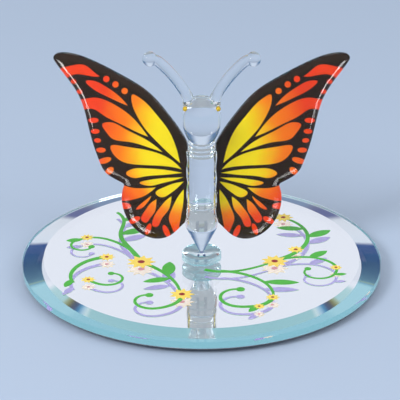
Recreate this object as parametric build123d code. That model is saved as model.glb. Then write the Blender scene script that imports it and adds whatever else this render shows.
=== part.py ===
from build123d import *
import os
from math import acos, atan2, cos, degrees, pi, radians, sin, sqrt

# A glass butterfly on a round bevelled mirror, in millimetres.
# The origin is the centre of the base on the table, +Z is up and the butterfly faces -Y.

# Mirror base: a silvered round blank with a ground bevel, on stick-on foot pads
mirror_radius = 50.8
mirror_thickness = 3.0
bevel_width = 6.0
bevel_drop = 0.9
mirror_arris = 0.25
silver_film = 0.1
backing_paint_film = 0.2
film_margin = 0.4
foot_pad_radius = 5.0
foot_pad_height = 1.5
foot_pad_round = 0.5
foot_pad_count = 4
foot_pad_ring_share = 0.74
foot_pad_names = ("back_right", "back_left", "front_left", "front_right")

# Body: lampworked from solid rod, standing a little in front of the middle of the mirror
body_forward = 2.8
glue_film = 0.1
pedestal_radius = 5.55
pedestal_height = 2.35
pedestal_ribs = 3
pedestal_rib_depth = 0.35
body_rod_radius = 3.9
joint_round = 0.6
abdomen_height = 13.95
abdomen_belly_radius = 4.6
abdomen_tip_radius = 0.7
abdomen_cone_share = 0.53
abdomen_cone_radius_share = 0.945
abdomen_belly_share = 0.66
thorax_length = 16.1
collar_radius = 3.85
collar_length = 3.7
collar_rings = 3
collar_groove = 0.45
head_radius = 5.4
head_neck_radius = 3.4
head_below_middle = 7.0
head_above_middle = 6.1
head_steps = 5
eye_radius = 0.7
eye_height_share = 0.50
eye_azimuth = 66
eye_proud_share = 0.35

# Antennae: bent rods with a ball melted on the end of each
antenna_rod_radius = 1.5
antenna_ball_radius = 2.05
antenna_spread = 14.0
antenna_rise = 16.7
antenna_shares = [(0.20, 0.13), (0.245, 0.26), (0.30, 0.39), (0.46, 0.605), (0.645, 0.80), (0.85, 0.965), (1, 1)]

# Wings: each is one flat glass blank for the fore and the hind wing, fired with an enamel print on its back
wing_span = 38.3
wing_height = 53.2
wing_drop = 11.2
wing_thickness = 2.2
wing_edge_round = 1.1
wing_tip_radius = 1.3
wing_notch_radius = 0.8
wing_sweep = 14
wing_seam = 0.12
enamel_film = 0.12

# The outline of a wing as shares of its span and of its height above its lowest point
leading_edge_shares = [
    (-0.032, 0.432), (-0.008, 0.517), (0.014, 0.571), (0.053, 0.620), (0.158, 0.720), (0.29, 0.820),
    (0.487, 0.902), (0.684, 0.964), (0.85, 0.998), (0.93, 1.0), (1.01, 0.985),
]
outer_margin_shares = [
    (1.01, 0.985), (0.945, 0.915), (0.862, 0.838), (0.795, 0.752), (0.75, 0.632), (0.705, 0.497), (0.672, 0.427),
    (0.618, 0.353), (0.542, 0.320), (0.476, 0.299),
]
hind_margin_shares = [
    (0.476, 0.299), (0.501, 0.215), (0.48, 0.130), (0.395, 0.040), (0.247, 0), (0.137, 0.026), (0.05, 0.090),
    (-0.032, 0.142),
]

# The coloured cells between the veins: each starts at its point nearest the root and runs round to it again
cell_shares = {
    "apex": [
        (0.650, 0.889), (0.720, 0.923), (0.761, 0.940), (0.819, 0.942), (0.873, 0.933), (0.950, 0.905),
        (0.925, 0.860), (0.864, 0.882), (0.798, 0.893), (0.721, 0.888),
    ],
    "narrow": [
        (0.444, 0.743), (0.532, 0.805), (0.623, 0.844), (0.703, 0.864), (0.755, 0.858), (0.704, 0.819),
        (0.609, 0.786), (0.495, 0.754),
    ],
    "outer": [
        (0.296, 0.580), (0.345, 0.628), (0.439, 0.696), (0.512, 0.730), (0.591, 0.757), (0.687, 0.771),
        (0.770, 0.758), (0.850, 0.725), (0.800, 0.690), (0.743, 0.705), (0.708, 0.707), (0.635, 0.679),
        (0.514, 0.640), (0.362, 0.595),
    ],
    "discal": [
        (0.058, 0.449), (0.084, 0.524), (0.151, 0.630), (0.225, 0.697), (0.292, 0.752), (0.375, 0.797),
        (0.409, 0.805), (0.416, 0.775), (0.385, 0.703), (0.325, 0.630), (0.231, 0.557), (0.152, 0.504),
    ],
    "third": [
        (0.189, 0.501), (0.310, 0.562), (0.472, 0.613), (0.599, 0.640), (0.639, 0.625), (0.616, 0.589),
        (0.569, 0.551), (0.442, 0.540), (0.284, 0.518),
    ],
    "fourth": [
        (0.048, 0.414), (0.179, 0.482), (0.337, 0.506), (0.485, 0.513), (0.580, 0.504), (0.561, 0.464),
        (0.493, 0.425), (0.365, 0.416), (0.206, 0.422),
    ],
    "fifth": [
        (0.040, 0.394), (0.180, 0.402), (0.339, 0.398), (0.413, 0.389), (0.465, 0.357), (0.425, 0.339),
        (0.340, 0.349), (0.180, 0.372),
    ],
    "sixth": [
        (0.035, 0.369), (0.127, 0.360), (0.260, 0.341), (0.362, 0.310), (0.308, 0.301), (0.207, 0.320), (0.117, 0.343),
    ],
    "hind_upper": [
        (0.032, 0.345), (0.101, 0.330), (0.186, 0.299), (0.242, 0.260), (0.213, 0.244), (0.133, 0.269), (0.075, 0.308),
    ],
    "hind_outer": [
        (0.242, 0.296), (0.341, 0.284), (0.448, 0.283), (0.550, 0.290), (0.550, 0.206), (0.417, 0.212),
        (0.325, 0.242), (0.277, 0.270),
    ],
    "petal_first": [
        (0.277, 0.245), (0.318, 0.218), (0.366, 0.185), (0.392, 0.157), (0.359, 0.164), (0.314, 0.196), (0.289, 0.223),
    ],
    "petal_second": [
        (0.237, 0.228), (0.285, 0.199), (0.326, 0.154), (0.349, 0.093), (0.327, 0.085), (0.286, 0.115),
        (0.248, 0.160), (0.240, 0.197),
    ],
    "petal_third": [
        (0.124, 0.253), (0.172, 0.221), (0.220, 0.173), (0.259, 0.123), (0.260, 0.067), (0.240, 0.068),
        (0.202, 0.113), (0.147, 0.173), (0.127, 0.225),
    ],
    "petal_root": [
        (0.032, 0.300), (0.081, 0.246), (0.122, 0.181), (0.144, 0.118), (0.130, 0.083), (0.105, 0.035),
        (0.077, 0.084), (0.046, 0.170), (0.033, 0.238),
    ],
}

# The light spots near the margins: middle, half length and half width as shares of the span, and tilt
spot_shares = [
    (0.843, 0.852, 0.020, 0.018, 0), (0.799, 0.798, 0.020, 0.018, 0),
    (0.603, 0.877, 0.023, 0.022, 0), (0.535, 0.852, 0.023, 0.022, 0), (0.467, 0.821, 0.023, 0.022, 0),
    (0.702, 0.643, 0.036, 0.020, -10), (0.690, 0.582, 0.030, 0.019, -12), (0.674, 0.532, 0.024, 0.018, -8),
    (0.650, 0.479, 0.033, 0.020, -8), (0.625, 0.421, 0.052, 0.022, -25), (0.588, 0.367, 0.035, 0.022, -45),
    (0.475, 0.170, 0.046, 0.025, -10), (0.403, 0.095, 0.047, 0.021, -35), (0.301, 0.052, 0.046, 0.019, -69),
    (0.168, 0.050, 0.048, 0.021, 72),
]

# Ink ornament on the mirror: scrolling stems, leaves and daisies, as shares of the flat of the mirror
ink_film = 0.1
stem_width = 1.1
stem_taper_share = 0.55
bud_share = 0.85
curl_steps = 9

# Each stem: the points that it runs through, its width share, then its curl's radius, turn and tightening
stem_shares = [
    ([(-0.38, -0.11), (-0.455, 0.08), (-0.525, 0.30), (-0.51, 0.50), (-0.56, 0.64)], 1.5, None),
    ([(-0.45, 0.06), (-0.56, 0.19), (-0.70, 0.25), (-0.79, 0.22)], 1.0, (0.10, 235, 0.55)),
    ([(-0.60, -0.04), (-0.74, -0.12), (-0.81, -0.27), (-0.79, -0.40)], 1.5, None),
    ([(-0.70, -0.36), (-0.63, -0.42)], 1.0, (0.105, 215, 0.45)),
    ([(-0.36, -0.13), (-0.26, -0.23), (-0.17, -0.38), (-0.13, -0.54)], 1.2, None),
    ([(-0.12, -0.56), (-0.16, -0.68), (-0.25, -0.74)], 1.2, (0.125, -215, 0.55)),
    ([(0.02, -0.22), (0.19, -0.245), (0.35, -0.18), (0.46, -0.10)], 1.1, None),
    ([(0.12, -0.24), (0.29, -0.30), (0.40, -0.42), (0.435, -0.58)], 1.2, None),
    ([(0.43, -0.60), (0.36, -0.70), (0.25, -0.725)], 1.3, (0.14, -195, 0.35)),
    ([(0.46, -0.10), (0.62, -0.04), (0.76, -0.07), (0.84, -0.17), (0.835, -0.26)], 1.0, (0.12, -215, 0.5)),
    ([(0.47, -0.08), (0.60, 0.03), (0.68, 0.20), (0.67, 0.38), (0.56, 0.54)], 1.4, None),
]

# Each leaf: foot, tip, and half width as a share of its own length
leaf_shares = [
    ((-0.525, 0.30), (-0.36, 0.39), 0.20), ((-0.51, 0.50), (-0.42, 0.62), 0.17), ((-0.21, -0.30), (-0.20, -0.11), 0.22),
    ((-0.19, -0.34), (-0.36, -0.39), 0.17), ((-0.77, 0.22), (-0.87, 0.20), 0.25), ((-0.80, -0.36), (-0.84, -0.46), 0.22),
    ((0.38, -0.39), (0.60, -0.40), 0.15), ((0.68, -0.045), (0.80, 0.05), 0.20), ((0.685, 0.26), (0.84, 0.36), 0.20),
    ((0.67, 0.38), (0.49, 0.40), 0.17), ((0.35, -0.705), (0.28, -0.79), 0.20), ((0.82, -0.29), (0.90, -0.28), 0.20),
]

# Each daisy: its middle and its radius
daisy_shares = [
    (-0.38, -0.11, 0.093), (-0.60, -0.04, 0.053), (-0.70, -0.36, 0.045), (-0.74, 0.25, 0.046), (-0.12, -0.56, 0.077),
    (0.46, -0.10, 0.086), (0.60, 0.07, 0.053), (0.54, 0.56, 0.065), (0.84, -0.19, 0.038), (0.43, -0.60, 0.043),
    (0.345, -0.72, 0.037),
]
daisy_petals = 9
daisy_valley_share = 0.62
daisy_centre_share = 0.24

# Heights that follow from the sizes above
backing_z = foot_pad_height
silver_z = backing_z + backing_paint_film
glass_z = silver_z + silver_film
mirror_top_z = glass_z + mirror_thickness
pedestal_z = mirror_top_z + glue_film
abdomen_z = pedestal_z + pedestal_height
waist_z = abdomen_z + abdomen_height
collar_z = waist_z + thorax_length
head_z = collar_z + collar_length
head_middle_z = head_z + head_below_middle
flat_radius = mirror_radius - bevel_width


def closed_face(*outline):
    """The flat face inside a closed outline of lines, arcs and splines."""
    return make_face([edge for line in outline for edge in line.edges()])


def turned(*outline):
    """Revolve a closed outline, drawn as radius and height, about the standing axis of the body."""
    face = Plane.XZ * closed_face(*outline)
    return Pos(0, -body_forward, 0) * revolve(face, Axis.Z)


def disc(radius, bottom, height):
    """A flat disc on the middle of the base."""
    return Pos(0, 0, bottom) * Cylinder(radius, height, align=(Align.CENTER, Align.CENTER, Align.MIN))


def mirror_glass():
    """The round blank with the wide bevel around its top and a fine arris below."""
    outline = Polyline(
        (0, glass_z),
        (mirror_radius - mirror_arris, glass_z),
        (mirror_radius, glass_z + mirror_arris),
        (mirror_radius, mirror_top_z - bevel_drop),
        (flat_radius, mirror_top_z),
        (0, mirror_top_z),
        close=True,
    )
    return revolve(Plane.XZ * make_face(outline), Axis.Z)


def foot_pad(number):
    """One round pad on the ring of pads, softened at its lower edge."""
    pad = disc(foot_pad_radius, 0, foot_pad_height)
    pad = fillet(pad.edges().sort_by(Axis.Z)[0], foot_pad_round)
    ring = mirror_radius * foot_pad_ring_share
    angle = radians((number + 1 / 2) * 360 / foot_pad_count)
    return Pos(ring * cos(angle), ring * sin(angle), 0) * pad


def pedestal():
    """The ribbed puck between the mirror and the tip of the abdomen."""
    root = pedestal_radius - pedestal_rib_depth
    pitch = pedestal_height / pedestal_ribs
    outline = [Line((0, pedestal_z), (root, pedestal_z))]
    for rib in range(pedestal_ribs):
        low = pedestal_z + pitch * rib
        outline.append(ThreePointArc((root, low), (pedestal_radius, low + pitch / 2), (root, low + pitch)))
    outline.append(Polyline((root, abdomen_z), (0, abdomen_z), (0, pedestal_z)))
    return turned(*outline)


def abdomen(extra=0):
    """The tapered tail: a straight cone up to a soft belly that narrows to the rod of the thorax."""
    cone_top = (abdomen_belly_radius * abdomen_cone_radius_share + extra, abdomen_z + abdomen_height * abdomen_cone_share)
    belly = (abdomen_belly_radius + extra, abdomen_z + abdomen_height * abdomen_belly_share)
    shoulder = (body_rod_radius + extra, waist_z - joint_round)
    foot = (abdomen_tip_radius + extra, abdomen_z)
    slope = (cone_top[0] - foot[0], cone_top[1] - foot[1])
    return turned(
        Polyline((0, waist_z), (0, abdomen_z), foot, cone_top),
        Spline(cone_top, belly, shoulder, tangents=(slope, (0, 1))),
        CenterArc((shoulder[0] - joint_round, shoulder[1]), joint_round, 0, 90),
        Line((shoulder[0] - joint_round, waist_z), (0, waist_z)),
    )


def thorax():
    """The plain rod between the wings, rounded at both fused ends."""
    inner = body_rod_radius - joint_round
    return turned(
        Line((0, waist_z), (inner, waist_z)),
        CenterArc((inner, waist_z + joint_round), joint_round, -90, 90),
        Line((body_rod_radius, waist_z + joint_round), (body_rod_radius, collar_z - joint_round)),
        CenterArc((inner, collar_z - joint_round), joint_round, 0, 90),
        Polyline((inner, collar_z), (0, collar_z), (0, waist_z)),
    )


def neck_collar():
    """A stack of soft rings pressed into the neck."""
    root = collar_radius - collar_groove
    pitch = collar_length / collar_rings
    outline = [Line((0, collar_z), (root, collar_z))]
    for ring in range(collar_rings):
        low = collar_z + pitch * ring
        outline.append(ThreePointArc((root, low), (collar_radius, low + pitch / 2), (root, low + pitch)))
    outline.append(Polyline((root, head_z), (0, head_z), (0, collar_z)))
    return turned(*outline)


def head(extra=0):
    """An egg of glass: one half ellipse above its widest ring, part of a longer one below it."""
    neck_angle = acos(head_neck_radius / head_radius)
    below = head_below_middle / sin(neck_angle)
    points = []
    for step in range(-head_steps, head_steps + 1):
        angle = (neck_angle if step < 0 else pi / 2) * step / head_steps
        tall = below if step < 0 else head_above_middle
        points.append(((head_radius + extra) * cos(angle), head_middle_z + (tall + extra) * sin(angle)))
    top = (0, points[-1][1])
    foot = (0, points[0][1])
    leaving = (points[1][0] - points[0][0], points[1][1] - points[0][1])
    egg = Spline(*points[:-1], top, tangents=(leaving, (-1, 0)))
    return turned(egg, Polyline(top, foot, points[0]))


def head_radius_at(height):
    """The radius of the head at a height above its widest ring."""
    return head_radius * sqrt(1 - (height / head_above_middle) ** 2)


def eye(skull):
    """The right eye: a small bead sunk into the side of the head."""
    height = head_above_middle * eye_height_share
    reach = head_radius_at(height) + eye_radius * eye_proud_share
    turn = radians(eye_azimuth)
    place = Pos(reach * sin(turn), -body_forward - reach * cos(turn), head_middle_z + height)
    return place * Sphere(eye_radius) - skull


def antenna(skull):
    """The right antenna: a bent rod from inside the head to its ball, trimmed where it is fused to the head."""
    points = [(antenna_spread * out, -body_forward, head_middle_z + antenna_rise * up) for out, up in antenna_shares]
    path = Spline(*points)
    rod = sweep(Plane(origin=path @ 0, z_dir=path % 0) * Circle(antenna_rod_radius), path=path)
    return rod + Pos(*points[-1]) * Sphere(antenna_ball_radius) - skull


def wing_point(share):
    """A point of the wing's own plane, out from the root and up, from its shares."""
    return Vector(wing_span * share[0], wing_height * share[1])


def rounded_corner(face, corner, radius):
    """The face with the corner nearest a point rounded off."""
    nearest = min(face.vertices(), key=lambda vertex: (Vector(vertex) - corner).length)
    return fillet([nearest], radius)


def wing_face():
    """The outline of a wing: leading edge, tip, outer margin, notch, hind margin and the root inside the body."""
    leading = [wing_point(share) for share in leading_edge_shares]
    outer = [wing_point(share) for share in outer_margin_shares]
    hind = [wing_point(share) for share in hind_margin_shares]
    face = closed_face(Spline(*leading), Spline(*outer), Spline(*hind), Line(hind[-1], leading[0]))
    face = rounded_corner(face, outer[0], wing_tip_radius)
    return rounded_corner(face, hind[0], wing_notch_radius)


def wing_plane():
    """The plane of the right wing: across the body's axis at its root, swept back."""
    turn = radians(wing_sweep)
    origin = (body_rod_radius, -body_forward, waist_z - wing_drop)
    return Plane(origin=origin, x_dir=(cos(turn), sin(turn), 0), z_dir=(sin(turn), -cos(turn), 0))


def cell(shares):
    """One coloured cell: a smooth loop that starts and ends at its pointed tip."""
    points = [wing_point(share) for share in shares]
    return closed_face(Spline(*points, points[0]))


def spot(out, up, length, width, tilt):
    """One light spot near the margin."""
    place = wing_point((out, up))
    return Pos(*place) * Rot(0, 0, tilt) * Ellipse(wing_span * length, wing_span * width)


def cells_face(outline):
    """All the cells and spots of a wing, cut off where they run past its margin."""
    shapes = [cell(shares) for shares in cell_shares.values()]
    shapes += [spot(*shares) for shares in spot_shares]
    return Sketch() + [shape & outline for shape in shapes]


def wing_parts(body_room, body_pieces):
    """The right wing's glass, its dark enamel, its coloured cells and the seam that joins it to the body."""
    outline = wing_face()
    plane = wing_plane()
    back = -wing_thickness / 2
    blank = extrude(Pos(0, 0, back) * outline, wing_thickness)
    front_edges = blank.faces().sort_by(Axis.Z)[-1].edges()
    margin = [edge for edge in front_edges if edge.geom_type != GeomType.LINE]
    blank = plane * fillet(margin, wing_edge_round)
    cells = cells_face(outline)
    dark = Sketch() + outline - cells
    dark_print = plane * extrude(Pos(0, 0, back - enamel_film) * dark, enamel_film) - body_room
    colour_print = plane * extrude(Pos(0, 0, back - enamel_film) * cells, enamel_film) - body_room
    seam = blank & body_room
    for piece in body_pieces:
        seam = seam - piece
    return {
        "glass": blank - body_room,
        "dark_enamel": dark_print,
        "colour_enamel": colour_print,
        "seam": seam,
    }


def flat_point(share):
    """A point on the flat of the mirror from its shares."""
    return Vector(flat_radius * share[0], flat_radius * share[1])


def curl_points(start, heading, radius, turn, tightening):
    """The points of a curl that leaves the start along the heading and tightens as it turns."""
    points = []
    place = start
    step_turn = turn / curl_steps
    for step in range(curl_steps):
        reach = radius * (1 - tightening * (step + 1 / 2) / curl_steps)
        heading = heading + step_turn
        stride = reach * abs(radians(step_turn))
        place = place + Vector(cos(radians(heading)), sin(radians(heading))) * stride
        points.append(place)
    return points


def stem(shares, width_share, curl):
    """One tapering stem, with a bud at the end of its curl if it has one."""
    points = [flat_point(share) for share in shares]
    if curl:
        leaving = points[-1] - points[-2]
        heading = degrees(atan2(leaving.Y, leaving.X))
        points += curl_points(points[-1], heading, flat_radius * curl[0], curl[1], curl[2])
    path = Spline(*points)
    stations = 2 * len(points)
    wide = stem_width * width_share
    left = []
    right = []
    for station in range(stations + 1):
        along = station / stations
        half = wide / 2 * (1 - (1 - stem_taper_share) * along)
        side = (path % along).rotate(Axis.Z, 90) * half
        left.append(path @ along + side)
        right.append(path @ along - side)
    ends = [Line(left[0], right[0]), Line(left[-1], right[-1])]
    shape = closed_face(Spline(*left), Spline(*right), *ends)
    if curl:
        shape = shape + Pos(*points[-1]) * Circle(wide * bud_share)
    return shape


def leaf(foot_share, tip_share, fullness):
    """One pointed leaf between its foot and its tip."""
    foot = flat_point(foot_share)
    tip = flat_point(tip_share)
    middle = (foot + tip) / 2
    side = (tip - foot).rotate(Axis.Z, 90) * fullness
    return closed_face(ThreePointArc(foot, middle + side, tip), ThreePointArc(tip, middle - side, foot))


def daisy(out, up, radius_share):
    """One daisy with pointed petals."""
    radius = flat_radius * radius_share
    points = []
    for step in range(2 * daisy_petals):
        angle = pi * step / daisy_petals
        reach = radius if step % 2 == 0 else radius * daisy_valley_share
        points.append((reach * cos(angle), reach * sin(angle)))
    return Pos(*flat_point((out, up))) * make_face(Polyline(*points, close=True))


def daisy_centre(out, up, radius_share):
    """The dark middle of a daisy."""
    return Pos(*flat_point((out, up))) * Circle(flat_radius * radius_share * daisy_centre_share)


def ornament():
    """The four inks of the ornament, side by side on the mirror."""
    centres = Sketch() + [daisy_centre(*shares) for shares in daisy_shares]
    petals = Sketch() + [daisy(*shares) for shares in daisy_shares]
    stems = Sketch() + [stem(*shares) for shares in stem_shares]
    leaves = Sketch() + [leaf(*shares) for shares in leaf_shares]
    foot = Pos(0, -body_forward) * Circle(pedestal_radius)
    inks = {
        "ornament_daisy_centres": centres,
        "ornament_daisy_petals": petals - centres,
        "ornament_stems": stems - petals - foot,
        "ornament_leaves": leaves - stems - petals,
    }
    return {name: extrude(Pos(0, 0, mirror_top_z) * ink, ink_film) for name, ink in inks.items()}


def body_parts():
    """The pieces of the figure on its standing axis."""
    return {
        "pedestal_glue": Pos(0, -body_forward, 0) * disc(pedestal_radius - pedestal_rib_depth, mirror_top_z, glue_film),
        "pedestal": pedestal(),
        "abdomen": abdomen(),
        "thorax": thorax(),
        "neck_collar": neck_collar(),
        "head": head(),
    }


def body_room():
    """The body grown by the seam's width: the ground hollow that a wing's root seats in."""
    rod_length = collar_z + collar_length - waist_z
    rod = Pos(0, -body_forward, waist_z - joint_round) * Cylinder(
        body_rod_radius + wing_seam, rod_length + joint_round, align=(Align.CENTER, Align.CENTER, Align.MIN)
    )
    return rod + abdomen(wing_seam) + head(wing_seam)


def all_parts():
    """Every node by name."""
    parts = {"foot_pad_" + name: foot_pad(number) for number, name in enumerate(foot_pad_names)}
    parts["mirror_backing_paint"] = disc(mirror_radius - film_margin, backing_z, backing_paint_film)
    parts["mirror_silvering"] = disc(mirror_radius - film_margin, silver_z, silver_film)
    parts["mirror_glass"] = mirror_glass()
    parts.update(ornament())
    figure = body_parts()
    parts.update(figure)
    skull = figure["head"]
    pairs = {"antenna_{}": antenna(skull), "eye_{}": eye(skull)}
    body_pieces = [figure["abdomen"], figure["thorax"], figure["neck_collar"], skull]
    for kind, piece in wing_parts(body_room(), body_pieces).items():
        pairs["wing_{}_" + kind] = piece
    for name, piece in pairs.items():
        parts[name.format("right")] = piece
        parts[name.format("left")] = mirror(piece, about=Plane.YZ)
    return parts


os.makedirs("parts", exist_ok=True)
for name, part in all_parts().items():
    export_step(part, "parts/" + name + ".step")
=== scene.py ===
"""A glass butterfly on a round bevelled mirror: finishes, films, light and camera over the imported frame.

Lengths are in metres, in the CAD's own frame: +Z is up and the butterfly faces -Y.
"""
import logging
from dataclasses import dataclass
from enum import Enum
from functools import cache
from math import acos, cos, pi, radians, sin, tan

import bmesh
import bpy
from bmesh.types import BMesh, BMFace, BMVert
from bpy.types import ID, Material, Node, NodeOutputs, NodeTree
from bpy.types import NodeSocket as Socket, Object as Piece
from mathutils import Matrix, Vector
from mathutils.bvhtree import BVHTree
from mathutils.geometry import delaunay_2d_cdt
from mathutils.kdtree import KDTree

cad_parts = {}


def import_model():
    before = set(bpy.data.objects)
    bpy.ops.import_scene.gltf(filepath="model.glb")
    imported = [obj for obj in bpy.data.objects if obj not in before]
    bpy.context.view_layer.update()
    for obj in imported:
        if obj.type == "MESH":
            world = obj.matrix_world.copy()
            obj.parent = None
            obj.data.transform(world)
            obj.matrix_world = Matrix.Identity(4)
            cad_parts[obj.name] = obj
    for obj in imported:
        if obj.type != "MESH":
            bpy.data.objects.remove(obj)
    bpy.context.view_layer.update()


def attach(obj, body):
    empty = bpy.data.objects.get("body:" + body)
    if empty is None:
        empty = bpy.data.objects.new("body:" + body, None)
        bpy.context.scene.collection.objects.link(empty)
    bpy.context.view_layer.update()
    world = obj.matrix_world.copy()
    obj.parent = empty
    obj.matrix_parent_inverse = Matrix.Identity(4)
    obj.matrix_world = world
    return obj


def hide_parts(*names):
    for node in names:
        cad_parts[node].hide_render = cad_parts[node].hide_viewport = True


log = logging.getLogger("butterfly")

Rgb = tuple[float, float, float]
Point = tuple[float, float, float]
Pair = tuple[float, float]
Outline = list[Pair]
Track = list[tuple[Vector, Vector]]
Bands = tuple[tuple[float, Rgb], ...]

BODY_FORWARD = 0.0028  # from the base's middle to the body's axis
WING_SWEEP = 14.0  # degrees that each wing is turned back
GLASS_BOUNCES = 48  # bounces that a ray may take on its way through the glass
TRAPPED_BOUNCES = 5  # reflections after which light in the plate counts as trapped and is replaced by a painted glow
PLATE_TO_WING = 0.011  # mirrored rays that travel further than this to a wing don't see it
OPEN_SIDE = (0.3, 0.6)  # shares of a normal that faces the air where a film's gloss starts and is full
ROUGHNESS_SWING = 0.12  # how far an uneven colour changes the roughness
LOOK_AHEAD = 0.01  # share of a track's stretch from which its direction is read
OVERHEAD: Bands = ((38.2, (122, 126, 166)), (62, (122, 126, 166)), (66, (246, 248, 255)))  # the upper bands


class Side(Enum):
    """The two sides of the butterfly, as seen from its front."""

    LEFT = -1
    RIGHT = 1

    @property
    def word(self) -> str:
        """The side's word in the names of pieces."""
        return self.name.lower()


class Film(Enum):
    """The way in which a fired or printed film bites into the glass that carries it."""

    DOWN = "down"
    UP = "up"
    FORWARD = "forward"


def linear(red: float, green: float, blue: float) -> tuple[float, float, float, float]:
    """Turn a display colour into the linear colour that shaders use.

    Args:
        red: Red, 0 to 255.
        green: Green, 0 to 255.
        blue: Blue, 0 to 255.

    Returns:
        The linear colour with full opacity.
    """
    shares = [level / 255 for level in (red, green, blue)]
    curve = [share / 12.92 if share <= 0.04045 else ((share + 0.055) / 1.055) ** 2.4 for share in shares]
    return (*curve, 1.0)


class Tree:
    """A node tree with short calls to add and link nodes."""

    def __init__(self, tree: NodeTree) -> None:
        """Wrap the node tree to build in."""
        self.nodes = tree.nodes
        self.links = tree.links

    def add(self, kind: str, **settings: object) -> Node:
        """Add a node.

        Args:
            kind: The node's Blender type, without the leading "ShaderNode".
            settings: Properties to set on it.

        Returns:
            The new node.
        """
        node = self.nodes.new("ShaderNode" + kind)
        for name, value in settings.items():
            setattr(node, name, value)
        return node

    def feed(self, socket: Socket, source: object) -> None:
        """Give an input socket a value or a link.

        Args:
            socket: The input.
            source: A number, a tuple or an output socket.
        """
        if isinstance(source, Socket):
            self.links.new(source, socket)
        else:
            socket.default_value = source

    def supply(self, node: Node, **sources: object) -> Node:
        """Give several inputs of a node a value or a link.

        Args:
            node: The node.
            sources: The values or sockets by input name, with spaces written as underscores.

        Returns:
            The node.
        """
        for name, source in sources.items():
            self.feed(node.inputs[name.replace("_", " ")], source)
        return node

    def math(self, operation: str, *terms: object) -> Socket:
        """Add a Math node.

        Args:
            operation: Its operation.
            terms: Its numbers or sockets, in order.

        Returns:
            Its output.
        """
        node = self.add("Math", operation=operation)
        for socket, term in zip(node.inputs, terms):
            self.feed(socket, term)
        return node.outputs[0]

    def split(self, vector: Socket) -> NodeOutputs:
        """Split a vector.

        Args:
            vector: The vector.

        Returns:
            Its three parts.
        """
        node = self.add("SeparateXYZ")
        self.feed(node.inputs[0], vector)
        return node.outputs

    def fade(self, value: Socket, low: float, high: float) -> Socket:
        """A smooth step from 0 where a value is low to 1 where it is high."""
        node = self.add("MapRange", interpolation_type="SMOOTHSTEP")
        return self.supply(node, Value=value, From_Min=low, From_Max=high).outputs["Result"]

    def mix(self, share: object, first: object, second: object) -> Socket:
        """Mix two colours.

        Args:
            share: The second colour's share.
            first: First colour or socket.
            second: Second colour or socket.

        Returns:
            The mixed colour.
        """
        node = self.add("Mix", data_type="RGBA")
        for number, source in ((0, share), (6, first), (7, second)):
            self.feed(node.inputs[number], source)
        return node.outputs[2]

    def blend(self, share: Socket, first: Socket, second: Socket) -> Socket:
        """Mix two shaders.

        Args:
            share: The second shader's share.
            first: The first shader.
            second: The second shader.

        Returns:
            The mixed shader.
        """
        node = self.add("MixShader")
        for socket, source in zip(node.inputs, (share, first, second)):
            self.links.new(source, socket)
        return node.outputs[0]

    def group(self, tree: NodeTree, **values: object) -> NodeOutputs:
        """Place a node group, supply its inputs and hand back its outputs."""
        return self.supply(self.add("Group", node_tree=tree), **values).outputs


def new_group(name: str, inputs: dict[str, str], outputs: dict[str, str]) -> tuple[NodeTree, Tree]:
    """Start a shader node group.

    Args:
        name: The group's name.
        inputs: Socket types by input name.
        outputs: Socket types by output name.

    Returns:
        The group and a wrapper to build it with.
    """
    group = bpy.data.node_groups.new(name, "ShaderNodeTree")
    for direction, sockets in (("INPUT", inputs), ("OUTPUT", outputs)):
        for socket, kind in sockets.items():
            group.interface.new_socket(socket, in_out=direction, socket_type="NodeSocket" + kind)
    return group, Tree(group)


@cache
def flame_ripple() -> NodeTree:
    """Make, once, the soft waves that a flame leaves in worked glass.

    Returns:
        A group that puts out a height.
    """
    group, tree = new_group("flame_ripple", {"Scale": "Float", "Stretch": "Float"}, {"Height": "Float"})
    given = tree.nodes.new("NodeGroupInput").outputs
    out, back, up = tree.split(tree.add("TexCoord").outputs["Object"])
    joined = tree.supply(tree.add("CombineXYZ"), X=out, Y=back, Z=tree.math("MULTIPLY", up, given["Stretch"]))
    noise = tree.supply(tree.add("TexNoise"), Vector=joined.outputs[0], Scale=given["Scale"], Detail=1.0)
    tree.supply(tree.nodes.new("NodeGroupOutput"), Height=noise.outputs["Fac"])
    return group


@cache
def colour_depth() -> NodeTree:
    """Make, once, the uneven depth of a fired or printed colour, and the sheen that goes with it.

    Returns:
        A group that puts out a colour, a roughness and a height.
    """
    group, tree = new_group(
        "colour_depth",
        {"Colour": "Color", "Spread": "Float", "Scale": "Float", "Roughness": "Float"},
        {"Colour": "Color", "Roughness": "Float", "Height": "Float"},
    )
    given = tree.nodes.new("NodeGroupInput").outputs
    place = tree.add("TexCoord").outputs["Object"]
    grain = tree.supply(tree.add("TexNoise"), Vector=place, Scale=given["Scale"], Detail=4.0).outputs["Fac"]
    swing = tree.math("SUBTRACT", grain, 0.5)
    bright = tree.math("MULTIPLY_ADD", swing, given["Spread"], 1.0)
    tint = tree.supply(tree.add("HueSaturation"), Color=given["Colour"], Value=bright)
    rough = tree.math("MULTIPLY_ADD", swing, ROUGHNESS_SWING, given["Roughness"])
    result = tree.nodes.new("NodeGroupOutput")
    tree.supply(result, Colour=tint.outputs[0], Roughness=rough, Height=grain)
    return group


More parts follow.
